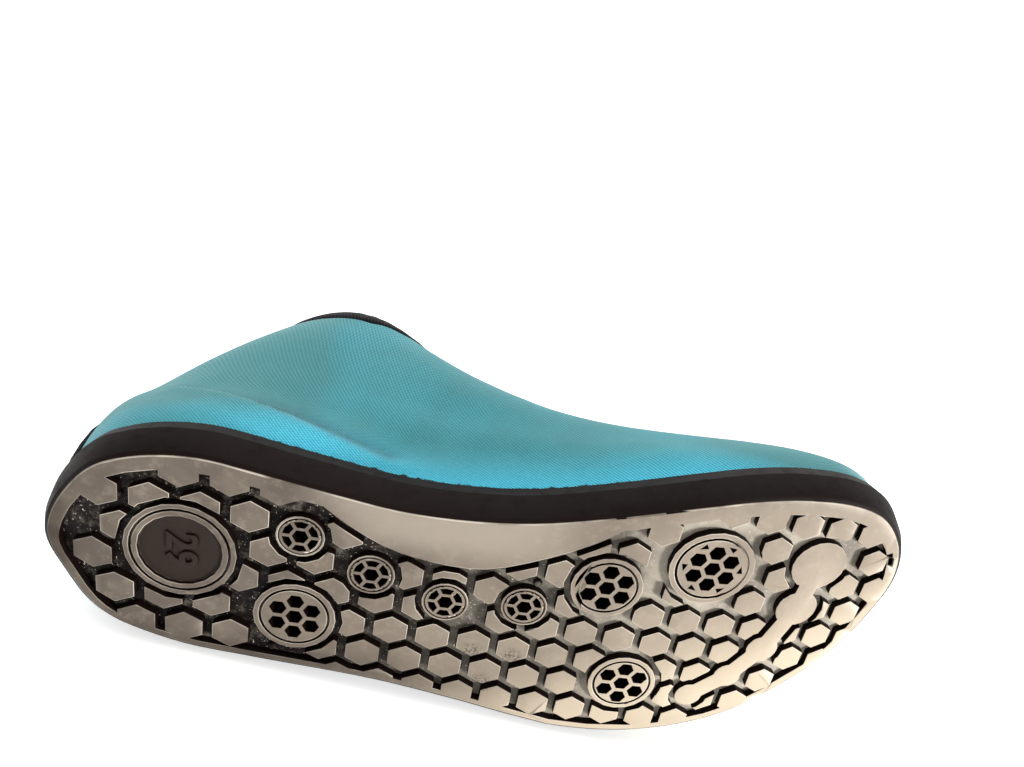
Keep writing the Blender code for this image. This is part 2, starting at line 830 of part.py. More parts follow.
def lay_down(parts):
    """Empty that carries the shoe, laid on its lateral side."""
    down = resting_face(parts)
    ahead = Vector((1, 0, 0))
    ahead = (ahead - down * down.dot(ahead)).normalized()
    side = (-down).cross(ahead)
    turn = Matrix((ahead, side, -down))
    points = np.array([turn @ point for part in parts for point in corner_points(part)])
    low = points.min(axis=0)
    high = points.max(axis=0)
    carrier = bpy.data.objects.new("shoe", None)
    PARTS.objects.link(carrier)
    carrier.matrix_world = Matrix.Translation((-(low[0] + high[0]) / 2,
                                               -(low[1] + high[1]) / 2,
                                               -low[2])) @ turn.to_4x4()
    for part in parts:
        part.parent = carrier


def finish_part(part, colour, roughness):
    part.data.materials.clear()
    part.data.materials.append(new_material(part.name, colour, roughness))
    part.data.shade_smooth()
    part.data.set_sharp_from_angle(angle=math.radians(35))


FABRIC, BINDING = upper_surface()
SHOE = [make_outsole(), make_upper(FABRIC), make_insole(), make_binding(BINDING),
        make_heel_tape(FABRIC)]
for shoe_part in SHOE:
    finish_part(shoe_part, *FINISH[shoe_part.name])
lay_down(SHOE)
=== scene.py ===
import math

import bmesh
import bpy
from mathutils import Euler, Matrix, Vector
from mathutils.kdtree import KDTree


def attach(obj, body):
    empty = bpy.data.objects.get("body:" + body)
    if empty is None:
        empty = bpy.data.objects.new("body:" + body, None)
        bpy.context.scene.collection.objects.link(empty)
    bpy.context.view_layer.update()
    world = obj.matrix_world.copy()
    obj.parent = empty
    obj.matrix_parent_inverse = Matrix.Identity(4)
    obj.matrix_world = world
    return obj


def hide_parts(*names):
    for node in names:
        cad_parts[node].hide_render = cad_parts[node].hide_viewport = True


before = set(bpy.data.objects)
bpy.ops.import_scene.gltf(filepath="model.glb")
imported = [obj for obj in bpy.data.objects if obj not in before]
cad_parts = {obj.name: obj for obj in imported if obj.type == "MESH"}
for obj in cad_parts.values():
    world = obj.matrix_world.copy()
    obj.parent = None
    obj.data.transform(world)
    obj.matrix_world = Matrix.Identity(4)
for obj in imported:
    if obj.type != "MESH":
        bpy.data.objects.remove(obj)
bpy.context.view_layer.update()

# Outsole: one cup of dark rubber, pressed in a mould. Its tread has honeycomb lugs, a smooth
# arch panel, vents cut through a ringed disc each, and a sunk disc at the heel. The tread is
# painted paler than the rolled sidewall as painted light, with some dust, and the sidewall and the
# grooves' walls are painted dark as shade.

# The shoe's own frame: x from heel to toe, y to the lateral side, z up from the tread
SHOE = Matrix.Translation((-0.09607, -0.04080, 0.02589)) @ Euler(
    (math.radians(-88.03), math.radians(-7.845), 0.0)).to_matrix().to_4x4()
INTO_SHOE = SHOE.inverted()
SOLE_LENGTH = 0.198
BALL_WIDTH = 0.0736
# Where the sole bends, as shares of its length, and its lift there in metres
SPRING_RUNS = (
    (-0.050, 0.00251), (0.075, 0.0), (0.620, 0.0), (0.750, 0.00084), (0.870, 0.00301),
    (1.050, 0.00854),
)
# Discs of the tread: shares of the length and of the width, and radius
LARGE_VENTS = (
    (0.2846, 0.206, 0.0098),
    (0.6982, 0.324, 0.0086),
    (0.6452, -0.073, 0.0087),
    (0.7626, -0.193, 0.0104),
)
SMALL_VENTS = (
    (0.2841, -0.1144, 0.0056),
    (0.3687, -0.0039, 0.0056),
    (0.4594, 0.0668, 0.0056),
    (0.5535, 0.0450, 0.0056),
)
HEEL_DISC = (0.150, 0.0, 0.0128)
# Rings sunk into the vents' discs: inner and outer radius as shares of the disc's, and depth
LARGE_RING = (0.80, 0.85, 0.0010)
SMALL_RING = (0.84, 0.90, 0.0006)
# The heel disc's ring: inner and outer radius and depth
HEEL_RING = (0.0109, 0.0114, 0.0009)
# Cutters start and end this far from the tread's plane, clear of the rubber
RING_START = -0.002
CORNER_START = -0.003
CORNER_END = 0.009
# Three-sided corners of cells in the widest vent: distance from its middle, radius, flattening
CORNER_REACH = 0.00685
CORNER_RADIUS = 0.0014
CORNER_FLATTENING = 0.6


def spring(x):
    """Lift of the sole towards the toe and the back of the heel."""
    share = min(max(x / SOLE_LENGTH, SPRING_RUNS[0][0]), SPRING_RUNS[-1][0])
    for (start, low), (end, high) in zip(SPRING_RUNS, SPRING_RUNS[1:]):
        if share <= end:
            return low + (high - low) * (share - start) / (end - start)


def tread_point(row, level):
    """A disc's middle at a level above the tread's plane."""
    x = row[0] * SOLE_LENGTH
    return Vector((x, row[1] * BALL_WIDTH, level + spring(x)))


def merged_copy(node):
    """A CAD node's skin as a bmesh in the shoe's frame, its loose triangles joined."""
    bm = bmesh.new()
    bm.from_mesh(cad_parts[node].data)
    bmesh.ops.remove_doubles(bm, verts=bm.verts, dist=1e-5)
    bmesh.ops.transform(bm, matrix=INTO_SHOE, verts=bm.verts)
    return bm


def place(name, bm, *nodes):
    """Object of a bmesh in the shoe's frame, which rides on the shoe."""
    bmesh.ops.transform(bm, matrix=SHOE, verts=bm.verts)
    mesh = bpy.data.meshes.new(name)
    bm.to_mesh(mesh)
    bm.free()
    mesh.shade_smooth()
    made = bpy.data.objects.new(name, mesh)
    bpy.context.scene.collection.objects.link(made)
    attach(made, "root")
    if nodes:
        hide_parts(*nodes)
    return made


def finished_mesh(made):
    """The object's shape as a mesh, with its modifiers applied."""
    bpy.context.view_layer.update()
    return bpy.data.meshes.new_from_object(
        made.evaluated_get(bpy.context.evaluated_depsgraph_get()))


def apply_modifiers(made):
    mesh = finished_mesh(made)
    made.modifiers.clear()
    made.data = mesh


def add_groove(bm, row, inner, outer, depth):
    """A ring of square section, sunk into a disc of the tread."""
    middle = tread_point(row, 0.0)
    corners = [(inner, RING_START), (outer, RING_START), (outer, depth), (inner, depth)]
    verts = [bm.verts.new(middle + Vector((radius, 0, level))) for radius, level in corners]
    edges = [bm.edges.new((verts[i], verts[(i + 1) % 4])) for i in range(4)]
    bmesh.ops.spin(bm, geom=verts + edges, cent=middle, axis=(0, 0, 1), angle=2 * math.pi,
                   steps=36, use_merge=True)


def add_corner(bm, spot):
    """An upright three-sided prism that cuts through the sole."""
    spot = spot @ Matrix.Rotation(math.pi, 4, "Z")
    base = bmesh.ops.create_circle(bm, cap_ends=True, segments=3, radius=CORNER_RADIUS, matrix=spot)
    face = base["verts"][0].link_faces[0]
    bmesh.ops.translate(bm, verts=base["verts"], vec=(0, 0, CORNER_START))
    grown = bmesh.ops.extrude_face_region(bm, geom=[face])
    tops = [item for item in grown["geom"] if isinstance(item, bmesh.types.BMVert)]
    bmesh.ops.translate(bm, verts=tops, vec=(0, 0, CORNER_END - CORNER_START))


cutter = bmesh.new()
for vent in LARGE_VENTS:
    add_groove(cutter, vent, vent[2] * LARGE_RING[0], vent[2] * LARGE_RING[1], LARGE_RING[2])
for vent in SMALL_VENTS:
    add_groove(cutter, vent, vent[2] * SMALL_RING[0], vent[2] * SMALL_RING[1], SMALL_RING[2])
add_groove(cutter, HEEL_DISC, *HEEL_RING)
# The widest vent shows the corners of six more cells inside its ring
for step in range(6):
    turn = Matrix.Rotation(math.pi / 3 * step, 4, "Z")
    corner = turn @ Matrix.Translation((CORNER_REACH, 0, 0))
    spot = Matrix.Translation(tread_point(LARGE_VENTS[3], 0.0)) @ corner
    add_corner(cutter, spot @ Matrix.Diagonal((CORNER_FLATTENING, 1, 1, 1)))
bmesh.ops.recalc_face_normals(cutter, faces=cutter.faces)
cutter_object = place("groove_cutter", cutter)


def level_of(vert):
    """Height of a point above the sprung tread."""
    return vert.co.z - spring(vert.co.x)


# The mould leaves lugs, discs, panel and rim flush, so steps lower than this close up
FLUSH_STEP = 0.00025

sole = merged_copy("outsole")
for vert in sole.verts:
    if level_of(vert) < FLUSH_STEP:
        vert.co.z = spring(vert.co.x)
bmesh.ops.remove_doubles(sole, verts=sole.verts, dist=2e-5)
bmesh.ops.dissolve_degenerate(sole, edges=sole.edges, dist=1e-6)
outsole = place("rubber_outsole", sole, "outsole")
cut = outsole.modifiers.new("grooves", "BOOLEAN")
cut.operation = "DIFFERENCE"
cut.solver = "EXACT"
cut.object = cutter_object
apply_modifiers(outsole)
bpy.data.objects.remove(cutter_object, do_unlink=True)

# The cup's outline in the tread's plane, from the heel round the lateral side to the medial side
OUTLINE = (
    (0.000, 0.006), (0.019, 0.141), (0.059, 0.280), (0.145, 0.368), (0.241, 0.398),
    (0.384, 0.431), (0.508, 0.488), (0.623, 0.548), (0.728, 0.537), (0.830, 0.452),
    (0.907, 0.296), (0.962, 0.122), (0.994, -0.090), (1.000, -0.218), (0.984, -0.341),
    (0.943, -0.441), (0.871, -0.478), (0.776, -0.447), (0.642, -0.345), (0.527, -0.270),
    (0.403, -0.253), (0.274, -0.300), (0.160, -0.342), (0.071, -0.288), (0.022, -0.154),
)
OUTLINE_STEPS = 24
# Points of the sidewall lie at most this far inside the outline
SIDE_DEPTH = 0.0006
# Edges that run along the sidewall: the least length that is split, and the most that the two
# ends differ in level and in distance from the outline
LONG_RUN = 0.0016
LEVEL_SPREAD = 2e-5
OUT_SPREAD = 3e-4


def smooth_outline():
    """Closed smooth curve through the outline's points."""
    rows = [Vector((x * SOLE_LENGTH, y * BALL_WIDTH, 0.0)) for x, y in OUTLINE]
    curve = []
    for index in range(len(rows)):
        before, start, end, after = [rows[(index + shift) % len(rows)] for shift in (-1, 0, 1, 2)]
        for step in range(OUTLINE_STEPS):
            share = step / OUTLINE_STEPS
            square = before - 2.5 * start + 2 * end - after / 2
            cube = (after - before) / 2 + 1.5 * (start - end)
            curve.append(start + share * ((end - before) / 2 + share * (square + share * cube)))
    return curve


def round_the_sides(bm):
    """Split the long straight runs of the sidewall and push the new points out to the curve."""
    curve = smooth_outline()
    tree = KDTree(len(curve))
    for index, point in enumerate(curve):
        tree.insert(point, index)
    tree.balance()

    def foot(spot):
        """The curve's nearest point, its direction and its normal out of the sole."""
        point, index, _ = tree.find((spot.x, spot.y, 0.0))
        run = (curve[(index + 1) % len(curve)] - curve[index - 1]).normalized()
        return point, run, Vector((-run.y, run.x, 0.0))

    # How far each point lies outside the outline, which the material reads too
    out = bm.verts.layers.float.new("out")
    for vert in bm.verts:
        point, _, normal = foot(vert.co)
        vert[out] = (vert.co - point).dot(normal)
    runs = []
    for edge in bm.edges:
        one, two = edge.verts
        along = (abs(level_of(one) - level_of(two)) < LEVEL_SPREAD
                 and abs(one[out] - two[out]) < OUT_SPREAD)
        if along and min(one[out], two[out]) > -SIDE_DEPTH and edge.calc_length() > LONG_RUN:
            runs.append(edge)
    known = set(bm.verts)
    bmesh.ops.subdivide_edges(bm, edges=runs, cuts=2)
    for vert in bm.verts:
        if vert in known or vert[out] < -SIDE_DEPTH:
            continue
        level = level_of(vert)
        point, run, normal = foot(vert.co)
        flat = Vector((vert.co.x, vert.co.y, 0.0))
        vert.co = point + run * (flat - point).dot(run) + normal * vert[out]
        vert.co.z = level + spring(vert.co.x)


# Flat faces this near to one plane are joined, and faces with more corners than this are cut up
FLAT_ANGLE = math.radians(0.5)
MOST_CORNERS = 40
# Walls of the tread are this high and stand this upright
WALL_HEIGHTS = (0.0007, 0.0024)
WALL_UPRIGHT = 0.5
# Edges are rounded between a wall and a face that looks out of the tread, below this level
TOP_FACING = -0.8
EDGE_LEVEL = 0.0012
EDGE_ANGLE = math.radians(50)
EDGE_ROUNDING = 0.00024
# Faces that look out of the tread more squarely than this are shaded flat
FLAT_FACING = -0.97
# The boolean numbers its points and faces anew in each run, so they are sorted along this line
SORTING = Vector((1.0, 0.6180, 0.2718))


def is_lug_wall(face):
    """Whether a face is a wall of the tread, from a lug's or a ring's top to the groove."""
    levels = [level_of(vert) for vert in face.verts]
    height = max(levels) - min(levels)
    return abs(face.normal.z) < WALL_UPRIGHT and WALL_HEIGHTS[0] < height < WALL_HEIGHTS[1]


def is_top_edge(edge):
    """Whether an edge lies between the flat top of a lug, ring or panel and its wall."""
    if len(edge.link_faces) != 2 or max(level_of(vert) for vert in edge.verts) > EDGE_LEVEL:
        return False
    one, two = edge.link_faces
    if one.normal.angle(two.normal) < EDGE_ANGLE:
        return False
    return ((is_lug_wall(one) and two.normal.z < TOP_FACING)
            or (is_lug_wall(two) and one.normal.z < TOP_FACING))


sole = bmesh.new()
sole.from_mesh(outsole.data)
bmesh.ops.transform(sole, matrix=INTO_SHOE, verts=sole.verts)
sole.verts.sort(key=lambda vert: vert.co.dot(SORTING))
sole.edges.sort(key=lambda edge: (edge.verts[0].co + edge.verts[1].co).dot(SORTING))
sole.faces.sort(key=lambda face: face.calc_center_median().dot(SORTING))
bmesh.ops.dissolve_degenerate(sole, edges=sole.edges, dist=1e-5)
bmesh.ops.dissolve_limit(sole, angle_limit=FLAT_ANGLE, verts=sole.verts, edges=sole.edges)
large = [face for face in sole.faces if len(face.verts) > MOST_CORNERS]
bmesh.ops.triangulate(sole, faces=large)
round_the_sides(sole)
sole.normal_update()
bmesh.ops.bevel(sole, geom=[edge for edge in sole.edges if is_top_edge(edge)],
                offset=EDGE_ROUNDING, offset_type="OFFSET", affect="EDGES", segments=2,
                profile=0.5, material=-1, clamp_overlap=False, loop_slide=True)
sole.normal_update()
for face in sole.faces:
    face.smooth = face.normal.z > FLAT_FACING
bmesh.ops.transform(sole, matrix=SHOE, verts=sole.verts)
sole.to_mesh(outsole.data)
sole.free()


class Signal:
    """A socket of a material's nodes that sums are done with."""

    def __init__(self, tree, socket):
        self.tree = tree
        self.socket = socket

    def node(self, kind, settings=None, inputs=None, output=0):
        made = self.tree.nodes.new("ShaderNode" + kind)
        for name, value in (settings or {}).items():
            setattr(made, name, value)
        for name, value in (inputs or {}).items():
            if isinstance(value, Signal):
                self.tree.links.new(value.socket, made.inputs[name])
            else:
                made.inputs[name].default_value = value
        return Signal(self.tree, made.outputs[output])

    def math(self, operation, first, second=0.0):
        return self.node("Math", {"operation": operation}, {0: first, 1: second})

    def __add__(self, other):
        return self.math("ADD", self, other)

    __radd__ = __add__

    def __mul__(self, other):
        return self.math("MULTIPLY", self, other)

    __rmul__ = __mul__

    def __sub__(self, other):
        return self.math("SUBTRACT", self, other)

    def __rsub__(self, other):
        return self.math("SUBTRACT", other, self)

    def between(self, low, high):
        """0 below low, 1 above high, smooth on the way."""
        return self.node("MapRange", {"interpolation_type": "SMOOTHSTEP"},
                         {0: self, 1: low, 2: high, 3: 0.0, 4: 1.0})

    def wave(self, pitch):
        """A sine of the signal from 0 to 1."""
        return self.math("SINE", self * (2 * math.pi / pitch)) * 0.5 + 0.5

    def noise(self, scale, detail=3.0, roughness=0.55):
        return self.node("TexNoise", None, {"Vector": self, "Scale": scale, "Detail": detail,
                                            "Roughness": roughness})

    def mix(self, first, second):
        """A colour between two, by this mask."""
        return self.node("Mix", {"data_type": "RGBA"}, {0: self, 6: first, 7: second}, 2)

    def axes(self):
        split = self.node("SeparateXYZ", None, {0: self})
        return [Signal(self.tree, socket) for socket in split.socket.node.outputs]

    def near(self, spot, inner, outer):
        """1 within inner of a spot, 0 beyond outer."""
        gap = self.node("VectorMath", {"operation": "DISTANCE"}, {0: self, 1: spot}, 1)
        return 1 - gap.between(inner, outer)

    def attribute(self, name):
        """A number that the mesh carries at its points."""
        return self.node("Attribute", {"attribute_name": name}, None, 2)


def rgb(red, green, blue):
    """A colour as a screen shows it, from 0 to 255, as the shader's linear light."""
    return tuple((value / 255) ** 2.2 for value in (red, green, blue)) + (1.0,)


def new_finish(name, colour, roughness, specular):
    """A material, its shader and its surface points in the shoe's frame."""
    material = bpy.data.materials.new(name)
    material.use_nodes = True
    shader = material.node_tree.nodes["Principled BSDF"]
    shader.inputs["Base Color"].default_value = colour
    shader.inputs["Roughness"].default_value = roughness
    shader.inputs["Specular IOR Level"].default_value = specular
    start = Signal(material.node_tree, None)
    points = start.node("TexCoord", None, None, 3)
    here = start.node("Mapping", {"vector_type": "POINT"}, {
        "Vector": points, "Location": INTO_SHOE.to_translation(),
        "Rotation": INTO_SHOE.to_euler()})
    return material, shader, here


def link(signal, shader, name):
    signal.tree.links.new(signal.socket, shader.inputs[name])


def bumped(signal, shader, strength, distance):
    """The signal as relief on the shader's surface."""
    link(signal.node("Bump", None, {"Height": signal, "Strength": strength,
                                    "Distance": distance}), shader, "Normal")


def dress(made, material):
    """Give a piece this material alone."""
    made.data.materials.clear()
    made.data.materials.append(material)


def add_values(made, name, values):
    """Numbers at a piece's points, for its material to read."""
    made.data.attributes.new(name, "FLOAT", "POINT").data.foreach_set("value", values)


def shoe_points(made):
    """A piece's points in the shoe's frame."""
    return [INTO_SHOE @ vert.co for vert in made.data.vertices]


BARE_RUBBER = rgb(46, 40, 36)
# Painted shade: the grooves' walls and the rolled sidewall, darker than the bare rubber
SHADED_WALL_RUBBER = rgb(24, 16, 13)
# Painted light and shade on the tread's tops, from the shaded heel to the lit toe
SHADED_HEEL_TREAD = rgb(86, 78, 71)
LIT_TOE_TREAD = rgb(146, 134, 119)
TOE_PAINTED_LIGHT = rgb(174, 160, 140)
TREAD_DUST = rgb(176, 167, 150)
ARCH_PANEL_SHEEN = rgb(142, 133, 121)
EDGE_HIGHLIGHT = rgb(212, 202, 186)
DARKER_HEEL_RUBBER = rgb(46, 38, 34)
SUNK_RUBBER = rgb(44, 37, 33)
SHADED_GROOVE_FLOOR = rgb(26, 21, 20)
GROOVE_SHEEN_AND_DUST = rgb(176, 167, 152)
PALE_FLECK = rgb(200, 194, 182)
PITTED_RUBBER = rgb(74, 66, 58)
ARCH_MIDDLE = (0.088, -0.036, 0.0)
SUNK_MIDDLE = (HEEL_DISC[0] * SOLE_LENGTH, 0.0, 0.0008)
# Rough patches on three lugs: middle, radius of the full roughness and radius where it ends
ROUGH_PATCHES = (
    ((0.0995, 0.0192, 0.0), 0.0012, 0.0036),
    ((0.1095, 0.0192, 0.0), 0.0012, 0.0036),
    ((0.1035, 0.0290, 0.0), 0.0016, 0.0040),
)


def rubber_finish():
    material, shader, here = new_finish("dark_rubber", BARE_RUBBER, 0.5, 0.10)
    level = here.attribute("depth")
    along, across, _ = here.axes()
    cloud = here.noise(60.0, 4.0)
    grain = here.noise(900.0, 3.0, 0.7)
    dust = here.noise(260.0, 5.0, 0.7).between(0.48, 0.70)
    flecks = here.noise(1300.0, 2.0, 0.9).between(0.66, 0.69)
    pits = here.noise(1300.0, 2.0, 0.8)

    # Tops of the tread and floors of its grooves face down, walls and the rolled side don't
    facing = here.node("NewGeometry", None, None, 1)
    tread_out = SHOE.to_3x3() @ Vector((0, 0, -1))
    down = facing.node("VectorMath", {"operation": "DOT_PRODUCT"}, {0: facing, 1: tread_out}, 1)
    facing_down = down.between(0.6, 0.85)
    floor = facing_down * level.between(0.0014, 0.0018) * (1 - level.between(0.0026, 0.003))
    past_rim = here.attribute("out").between(0.0, 0.0002)
    top = (1 - level.between(0.0010, 0.0013)) * facing_down * (1 - past_rim)

    # The tops are painted light towards the toe and its lateral side and painted shade towards the
    # heel, with random tone; the arch panel gets a painted sheen and the edges painted highlights
    painted_light_and_tone = (along + across * 1.2).between(0.02, 0.21) * 0.8 + cloud.between(0.35, 0.7) * 0.2
    face = painted_light_and_tone.mix(SHADED_HEEL_TREAD, LIT_TOE_TREAD)
    # Painted pool of light on the toe's lateral side
    face = (across * 0.6 + along * 0.3).between(0.044, 0.064).mix(face, TOE_PAINTED_LIGHT)
    face = (dust * 0.15).mix(face, TREAD_DUST)
    # Painted sheen on the smooth arch panel
    panel = here.near(ARCH_MIDDLE, 0.022, 0.040) * (1 - across.between(-0.014, -0.004))
    face = (panel * 0.8).mix(face, ARCH_PANEL_SHEEN)
    # Painted highlight: pale rounded edges of the tops, where they catch the light
    edge = (1 - level.between(0.0003, 0.0006)) * (1 - down.between(0.90, 0.98))
    face = (edge * cloud.between(0.35, 0.6) * 0.6).mix(face, EDGE_HIGHLIGHT)

    # The heel's lateral rim and its back are darker, and so is the sunk disc
    darker_heel = (1 - along.between(0.060, 0.120)) * across.between(0.019, 0.029)
    darker_heel = darker_heel + (1 - along.between(0.001, 0.009))
    face = (darker_heel * 0.6).mix(face, DARKER_HEEL_RUBBER)
    sunk = here.near(SUNK_MIDDLE, 0.0092, 0.0095) * level.between(0.0001, 0.0003)
    face = sunk.mix(face, SUNK_RUBBER)

    # The grooves' floors are painted dark as shade, with a patchy painted sheen of light that grows
    # towards the toe, and some dust
    sheen = (along + across * 0.3).between(0.06, 0.17)
    patchy = 0.35 + cloud.between(0.35, 0.6) * 0.45
    groove = (dust * 0.2 + sheen * patchy).mix(SHADED_GROOVE_FLOOR, GROOVE_SHEEN_AND_DUST)
    groove = (flecks * 0.8).mix(groove, PALE_FLECK)

    # Painted shade on the walls and the rolled side, darker than the bare rubber
    colour = floor.mix(SHADED_WALL_RUBBER, groove)
    colour = top.mix(colour, face)
    rough = sum(here.near(*patch) for patch in ROUGH_PATCHES) * top
    colour = (rough * pits.between(0.5, 0.56) * 0.8).mix(colour, PITTED_RUBBER)
    link(colour, shader, "Base Color")
    link(0.46 + cloud * 0.2 + dust * 0.12, shader, "Roughness")
    bumped(grain * 0.3 + cloud * 0.2 + rough * pits * 2.5, shader, 0.5, 0.0003)
    return material


rubber = rubber_finish()
add_values(outsole, "depth", [spot.z - spring(spot.x) for spot in shoe_points(outsole)])
dress(outsole, rubber)
outsole.data.set_sharp_from_angle(angle=math.radians(20))

# Size number: two plain digits that the mould leaves raised on the sunk heel disc, tops towards
# the toe. They are the same rubber as the sole.

NUMBER_SIZE = 0.0098
NUMBER_RELIEF = 0.00025
NUMBER_BEVEL = 0.00028
NUMBER_LEVEL = 0.0007
# The depth that gives the digits the sunk disc's dark tone
NUMBER_TONE = 0.0005

digits = bpy.data.curves.new("size_digits", "FONT")
digits.body = "29"
digits.size = NUMBER_SIZE
digits.align_x = "CENTER"
digits.align_y = "CENTER"
digits.extrude = NUMBER_RELIEF
digits.bevel_depth = NUMBER_BEVEL
digits.resolution_u = 4
digits_object = bpy.data.objects.new("size_digits", digits)
bpy.context.scene.collection.objects.link(digits_object)
number = bmesh.new()
number.from_mesh(finished_mesh(digits_object))
bpy.data.objects.remove(digits_object, do_unlink=True)
bmesh.ops.remove_doubles(number, verts=number.verts, dist=1e-6)
# Reading runs to the lateral side, tops point to the toe and the faces look out of the tread
reading = Matrix(((0, 1, 0), (1, 0, 0), (0, 0, -1))).to_4x4()
bmesh.ops.transform(number, verts=number.verts,
                    matrix=Matrix.Translation(tread_point(HEEL_DISC, NUMBER_LEVEL)) @ reading)
size_number = place("size_number", number)
dress(size_number, rubber)
size_number.data.set_sharp_from_angle(angle=math.radians(32))
add_values(size_number, "depth", [NUMBER_TONE] * len(size_number.data.vertices))

# Moulding nubs: small round buttons of rubber that the mould's air holes leave in the gaps
# between the lugs.

NUB_PLACES = ((0.0159, -0.0126), (0.0515, 0.0260), (0.1116, -0.0036))
NUB_RADIUS = 0.0011
NUB_FLATTENING = 0.9
NUB_LEVEL = 0.0012
# The depth that gives the nubs the painted-shade tone of the grooves' walls
NUB_TONE = 0.0016

nubs = bmesh.new()
for x, y in NUB_PLACES:
    spot = Matrix.Translation((x, y, NUB_LEVEL + spring(x)))
    bmesh.ops.create_uvsphere(nubs, u_segments=16, v_segments=8, radius=NUB_RADIUS,
                              matrix=spot @ Matrix.Diagonal((1, 1, NUB_FLATTENING, 1)))
moulding_nubs = place("moulding_nubs", nubs)
dress(moulding_nubs, rubber)
add_values(moulding_nubs, "depth", [NUB_TONE] * len(moulding_nubs.data.vertices))

# Upper: a sock of stretch knit, cut in one piece and tucked into the sole's cup. It is empty, so
# it swells round the heel seat and sinks in softly above it. The outer forefoot has a plain
# yellow area.

# Each fold's points near the knit, its half-width and its height; a trough's height is negative
FOLDS = (
    (((0.020, -0.024, 0.030), (0.034, -0.028, 0.025), (0.048, -0.027, 0.021),
      (0.062, -0.024, 0.0175), (0.074, -0.021, 0.014)), 0.0040, 0.0013),
    (((0.018, -0.024, 0.0350), (0.034, -0.028, 0.0285), (0.048, -0.027, 0.0242),
      (0.060, -0.024, 0.0208), (0.073, -0.021, 0.0176)), 0.0026, -0.0017),
    (((0.026, -0.024, 0.037), (0.044, -0.028, 0.031), (0.060, -0.027, 0.027),
      (0.076, -0.024, 0.022)), 0.0065, -0.0013),
    (((0.020, 0.024, 0.040), (0.040, 0.029, 0.032), (0.062, 0.030, 0.026)), 0.0060, -0.0010),
    (((0.088, -0.012, 0.062), (0.082, -0.026, 0.046), (0.084, -0.027, 0.030)), 0.0080, -0.0009),
    (((0.096, 0.014, 0.054), (0.090, 0.029, 0.040)), 0.0070, -0.0009),
    (((0.126, -0.014, 0.040), (0.150, -0.020, 0.030), (0.170, -0.020, 0.024)), 0.0060, 0.0006),
    (((0.074, -0.024, 0.030), (0.110, -0.026, 0.026), (0.140, -0.030, 0.022)), 0.0050, 0.0007),
)
# Only folds narrower than this are shaded dark along their line
DARK_FOLD_WIDTH = 0.003
# Folds fade out down to the hem
HEM_LEVEL = 0.0125
HEM_FADE = 0.005
# Height of the foot's axis, which tells the cloth's outside from its inside
AXIS_HEIGHT = 0.025
# The level that the knit's dark hem is measured from
HEM_START = 0.011
# The weave runs round the foot at this radius, about an axis at this height
GIRTH_RADIUS = 0.036
GIRTH_HEIGHT = 0.020


def line_gap(point, line):
    """Distance from a point to a line of straight runs."""
    best = math.inf
    for start, end in zip(line, line[1:]):
        run = end - start
        share = min(max((point - start).dot(run) / run.length_squared, 0.0), 1.0)
        best = min(best, (point - start - run * share).length)
    return best


def quads_of(node):
    """A node's skin with its triangles joined to four-sided faces where they can be."""
    bm = merged_copy(node)
    bmesh.ops.join_triangles(bm, faces=bm.faces, angle_face_threshold=math.radians(50),
                             angle_shape_threshold=math.radians(60))
    return bm


def subdivide(made, levels):
    """Round a piece's faces by subdivision."""
    smooth = made.modifiers.new("smooth", "SUBSURF")
    smooth.levels = levels
    smooth.render_levels = levels
    apply_modifiers(made)


fold_lines = [([Vector(point) for point in line], width, height) for line, width, height in FOLDS]


def fold_at(point):
    """Height of the folds at a point of the knit, and how much it lies in a dark one."""
    push = 0.0
    crease = 0.0
    for line, width, height in fold_lines:
        gap = line_gap(point, line) / width
        if gap < 3:
            share = math.exp(-gap * gap)
            push += height * share
            if width < DARK_FOLD_WIDTH:
                crease = max(crease, share)
    return push, crease


upper = place("knit_upper", quads_of("upper"), "upper")
subdivide(upper, 2)
folded = bmesh.new()
folded.from_mesh(upper.data)
bmesh.ops.transform(folded, matrix=INTO_SHOE, verts=folded.verts)
folded.normal_update()
moves = []
creases = []
for vert in folded.verts:
    push, crease = fold_at(vert.co)
    creases.append(crease)
    fade = min(max((level_of(vert) - HEM_LEVEL) / HEM_FADE, 0.0), 1.0)
    from_axis = vert.co - Vector((vert.co.x, 0.0, AXIS_HEIGHT))
    outward = 1.0 if vert.normal.dot(from_axis) > 0 else -1.0
    moves.append(vert.normal * outward * push * fade)
for vert, move in zip(folded.verts, moves):
    vert.co += move
bmesh.ops.transform(folded, matrix=SHOE, verts=folded.verts)
folded.to_mesh(upper.data)
folded.free()
spots = shoe_points(upper)
add_values(upper, "fold", creases)
add_values(upper, "rise", [spot.z - spring(spot.x) - HEM_START for spot in spots])
add_values(upper, "girth", [GIRTH_RADIUS * math.atan2(spot.y, spot.z - GIRTH_HEIGHT)
                            for spot in spots])

TWILL_PITCH = 0.00092
TWILL_LEAN = 0.75
WALE_PITCH = 0.00070
CYAN = rgb(74, 180, 210)
LIT_THREAD = rgb(84, 222, 252)
LIT_GAP = rgb(36, 148, 186)
SHADED_THREAD = rgb(72, 144, 148)
SHADED_GAP = rgb(58, 126, 133)
FOLD_SHADE = rgb(24, 74, 84)
YELLOW = rgb(214, 204, 96)
HEM_BLACK = rgb(16, 15, 15)


